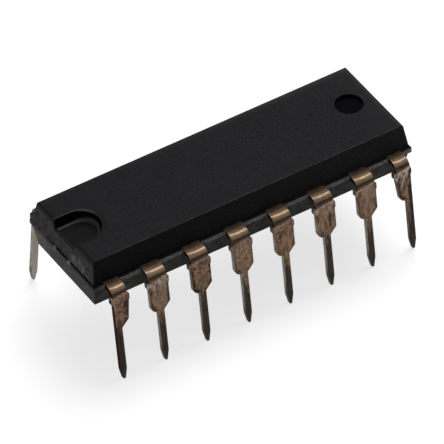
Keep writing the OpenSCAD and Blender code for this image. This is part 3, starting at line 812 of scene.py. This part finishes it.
# How spotted each lead is, the height in millimetres at which its pin turns dark, how scuffed it is
# below the bend, and how dark its outline is. The leads of the far row get theirs by chance
WEAR = {
    1: (0.9, 3.35, 0.5, 0.9),
    2: (0.4, 2.9, 0.9, 0.8),
    3: (0.7, 3.3, 0.35, 1.0),
    4: (0.6, 2.4, 0.15, 0.5),
    5: (0.6, 2.5, 0.25, 0.3),
    6: (0.7, 3.3, 0.7, 0.2),
    7: (0.6, 2.7, 0.5, 0.4),
    8: (0.6, 2.2, 1.0, 0.8),
}
# How stained a lead's sheared sides are, out of FULL_STAIN; lead 16's entry gives it painted
# shade over the bend instead
STAINED_SIDES = {1: 90, 2: 25, 3: 35, 8: 50, 16: SHADED_BEND_INDEX}
handling = random.Random(16)
for number in LEADS:
    lead = node[f"lead_{number:02d}"]
    by_chance = (handling.uniform(0.3, 0.8), handling.uniform(2.2, 3.6),
                 handling.random(), handling.uniform(0.2, 0.8))
    spotted, dark_height, scuffed, edged = WEAR.get(number, by_chance)
    lead.color = (spotted, dark_height / DARK_SCALE, scuffed, edged)
    lead.pass_index = STAINED_SIDES.get(number, 0)
    give(lead, lead_plating)
    soften_edges(lead, 0.022)

# Studio
# The chip stands on white card under one big soft light, with a smaller soft light from the left.
# A dark board stands low in front, and keeps the long side and the lower half of each bend dark.
CENTRE = Vector((0, 0, 3.3)) * MM
CARD_REACH = 6.0
CARD_GREY = (0.45, 0.45, 0.45, 1)
CARD_GLOW = 0.72
CARD_CORNERS = [(-CARD_REACH, -CARD_REACH, 0), (CARD_REACH, -CARD_REACH, 0),
                (CARD_REACH, CARD_REACH, 0), (-CARD_REACH, CARD_REACH, 0)]
LIGHT_DISTANCE = 0.5
BOARD_FOOT = Vector((0.02, -0.06, 0))
BOARD_WIDTH = 0.12
BOARD_TOP = 0.034
BOARD_BLACK = (0.05, 0.05, 0.05, 1)
ROOM_FILL = 0.18


def flat_sheet(name, corners):
    """A sheet of the studio with four corners, which belongs to no part."""
    mesh = bpy.data.meshes.new(name)
    mesh.from_pydata(corners, [], [(0, 1, 2, 3)])
    sheet = add_piece(name, mesh)
    return sheet


def soft_light(name, towards, size, radiance):
    """A square soft light that faces the chip from a direction, by its size and brightness."""
    lamp = bpy.data.lights.new(name, "AREA")
    lamp.shape = "SQUARE"
    lamp.size = size
    lamp.energy = radiance * math.pi * size * size
    back = Vector(towards).normalized()
    holder = add_piece(name, lamp)
    holder.matrix_world = (Matrix.Translation(CENTRE + back * LIGHT_DISTANCE)
                           @ back.to_track_quat("Z", "Y").to_matrix().to_4x4())


paper = Finish("white_card")
paper.shade(Base_Color=CARD_GREY, Roughness=0.9, Specular_IOR_Level=0.0)
rays = paper.add("LightPath").outputs
indirect = paper.reckon("MAXIMUM", rays["Is Glossy Ray"], rays["Is Transmission Ray"])
seen = paper.reckon("MAXIMUM", rays["Is Camera Ray"], indirect)
glow = paper.add("Emission", {"Color": WHITE, "Strength": seen * CARD_GLOW})
lit = paper.add("AddShader", {0: paper.shader.outputs[0], 1: glow.outputs[0]})
from_below = paper.add("NewGeometry").outputs["Backfacing"]
clear = paper.add("BsdfTransparent")
one_sided = paper.add("MixShader", {0: from_below, 1: lit.outputs[0], 2: clear.outputs[0]})
paper.fill(paper.nodes["Material Output"].inputs["Surface"], one_sided.outputs[0])
give(flat_sheet("white_card", CARD_CORNERS), paper.material)

soft_light("overhead_soft_light", (0.38, 0.36, 0.85), 0.36, 5.1)
soft_light("left_soft_light", (-0.95, 0.05, 0.2), 0.3, 1.8)

facing_chip = BOARD_FOOT.normalized()
half_board = Vector((-facing_chip.y, facing_chip.x, 0)) * BOARD_WIDTH / 2
board_rise = Vector((0, 0, BOARD_TOP))
front_board = flat_sheet("front_board", [BOARD_FOOT - half_board, BOARD_FOOT + half_board,
                                         BOARD_FOOT + half_board + board_rise,
                                         BOARD_FOOT - half_board + board_rise])
board_finish = Finish("black_board")
give(front_board, board_finish.shade(Base_Color=BOARD_BLACK, Roughness=0.9, Specular_IOR_Level=0.1))
front_board.visible_camera = False
front_board.visible_shadow = False

# The room is white to the camera and in reflections, and dim as a light
world = bpy.data.worlds.new("studio_room")
bpy.context.scene.world = world
world.use_nodes = True
room = world.node_tree
path = room.nodes.new("ShaderNodeLightPath")
in_sight = path.outputs["Is Camera Ray"]
for kind in ("Is Glossy Ray", "Is Transmission Ray"):
    either = room.nodes.new("ShaderNodeMath")
    either.operation = "MAXIMUM"
    room.links.new(in_sight, either.inputs[0])
    room.links.new(path.outputs[kind], either.inputs[1])
    in_sight = either.outputs[0]
level = room.nodes.new("ShaderNodeMapRange")
level.inputs["To Min"].default_value = ROOM_FILL
level.inputs["To Max"].default_value = 1.0
room.links.new(in_sight, level.inputs["Value"])
backdrop = room.nodes["Background"]
backdrop.inputs["Color"].default_value = WHITE
room.links.new(level.outputs[0], backdrop.inputs["Strength"])

# Camera
# A long lens at the photograph's angle, from in front of pins 1 to 8 and well above the chip. The
# lens is worked out for a square frame of SHOT pixels, and the chip's centre lies a few pixels off
# its middle.
AZIMUTH = math.radians(-31.496)
ELEVATION = math.radians(42.74)
ROLL = math.radians(-1.369)
SHOT = 444
PIXELS_PER_MM = 19.289
UP_PIXELS = 5.974
RIGHT_PIXELS = 0.053
CAMERA_DISTANCE = 0.45
back = Vector((math.sin(AZIMUTH) * math.cos(ELEVATION),
               -math.cos(AZIMUTH) * math.cos(ELEVATION), math.sin(ELEVATION)))
level_right = Vector((math.cos(AZIMUTH), math.sin(AZIMUTH), 0))
level_up = back.cross(level_right)
right = level_right * math.cos(ROLL) + level_up * math.sin(ROLL)
up = level_up * math.cos(ROLL) - level_right * math.sin(ROLL)
aim = CENTRE - (up * UP_PIXELS + right * RIGHT_PIXELS) / PIXELS_PER_MM * MM
lens = bpy.data.cameras.new("camera")
lens.sensor_width = 36
lens.lens = PIXELS_PER_MM / MM * CAMERA_DISTANCE / SHOT * lens.sensor_width
lens.clip_start = 0.01
lens.clip_end = 20
camera = add_piece("camera", lens)
turn = Matrix((right, up, back)).transposed().to_4x4()
camera.matrix_world = Matrix.Translation(aim + back * CAMERA_DISTANCE) @ turn
bpy.context.scene.camera = camera
bpy.context.scene.view_settings.view_transform = "Standard"
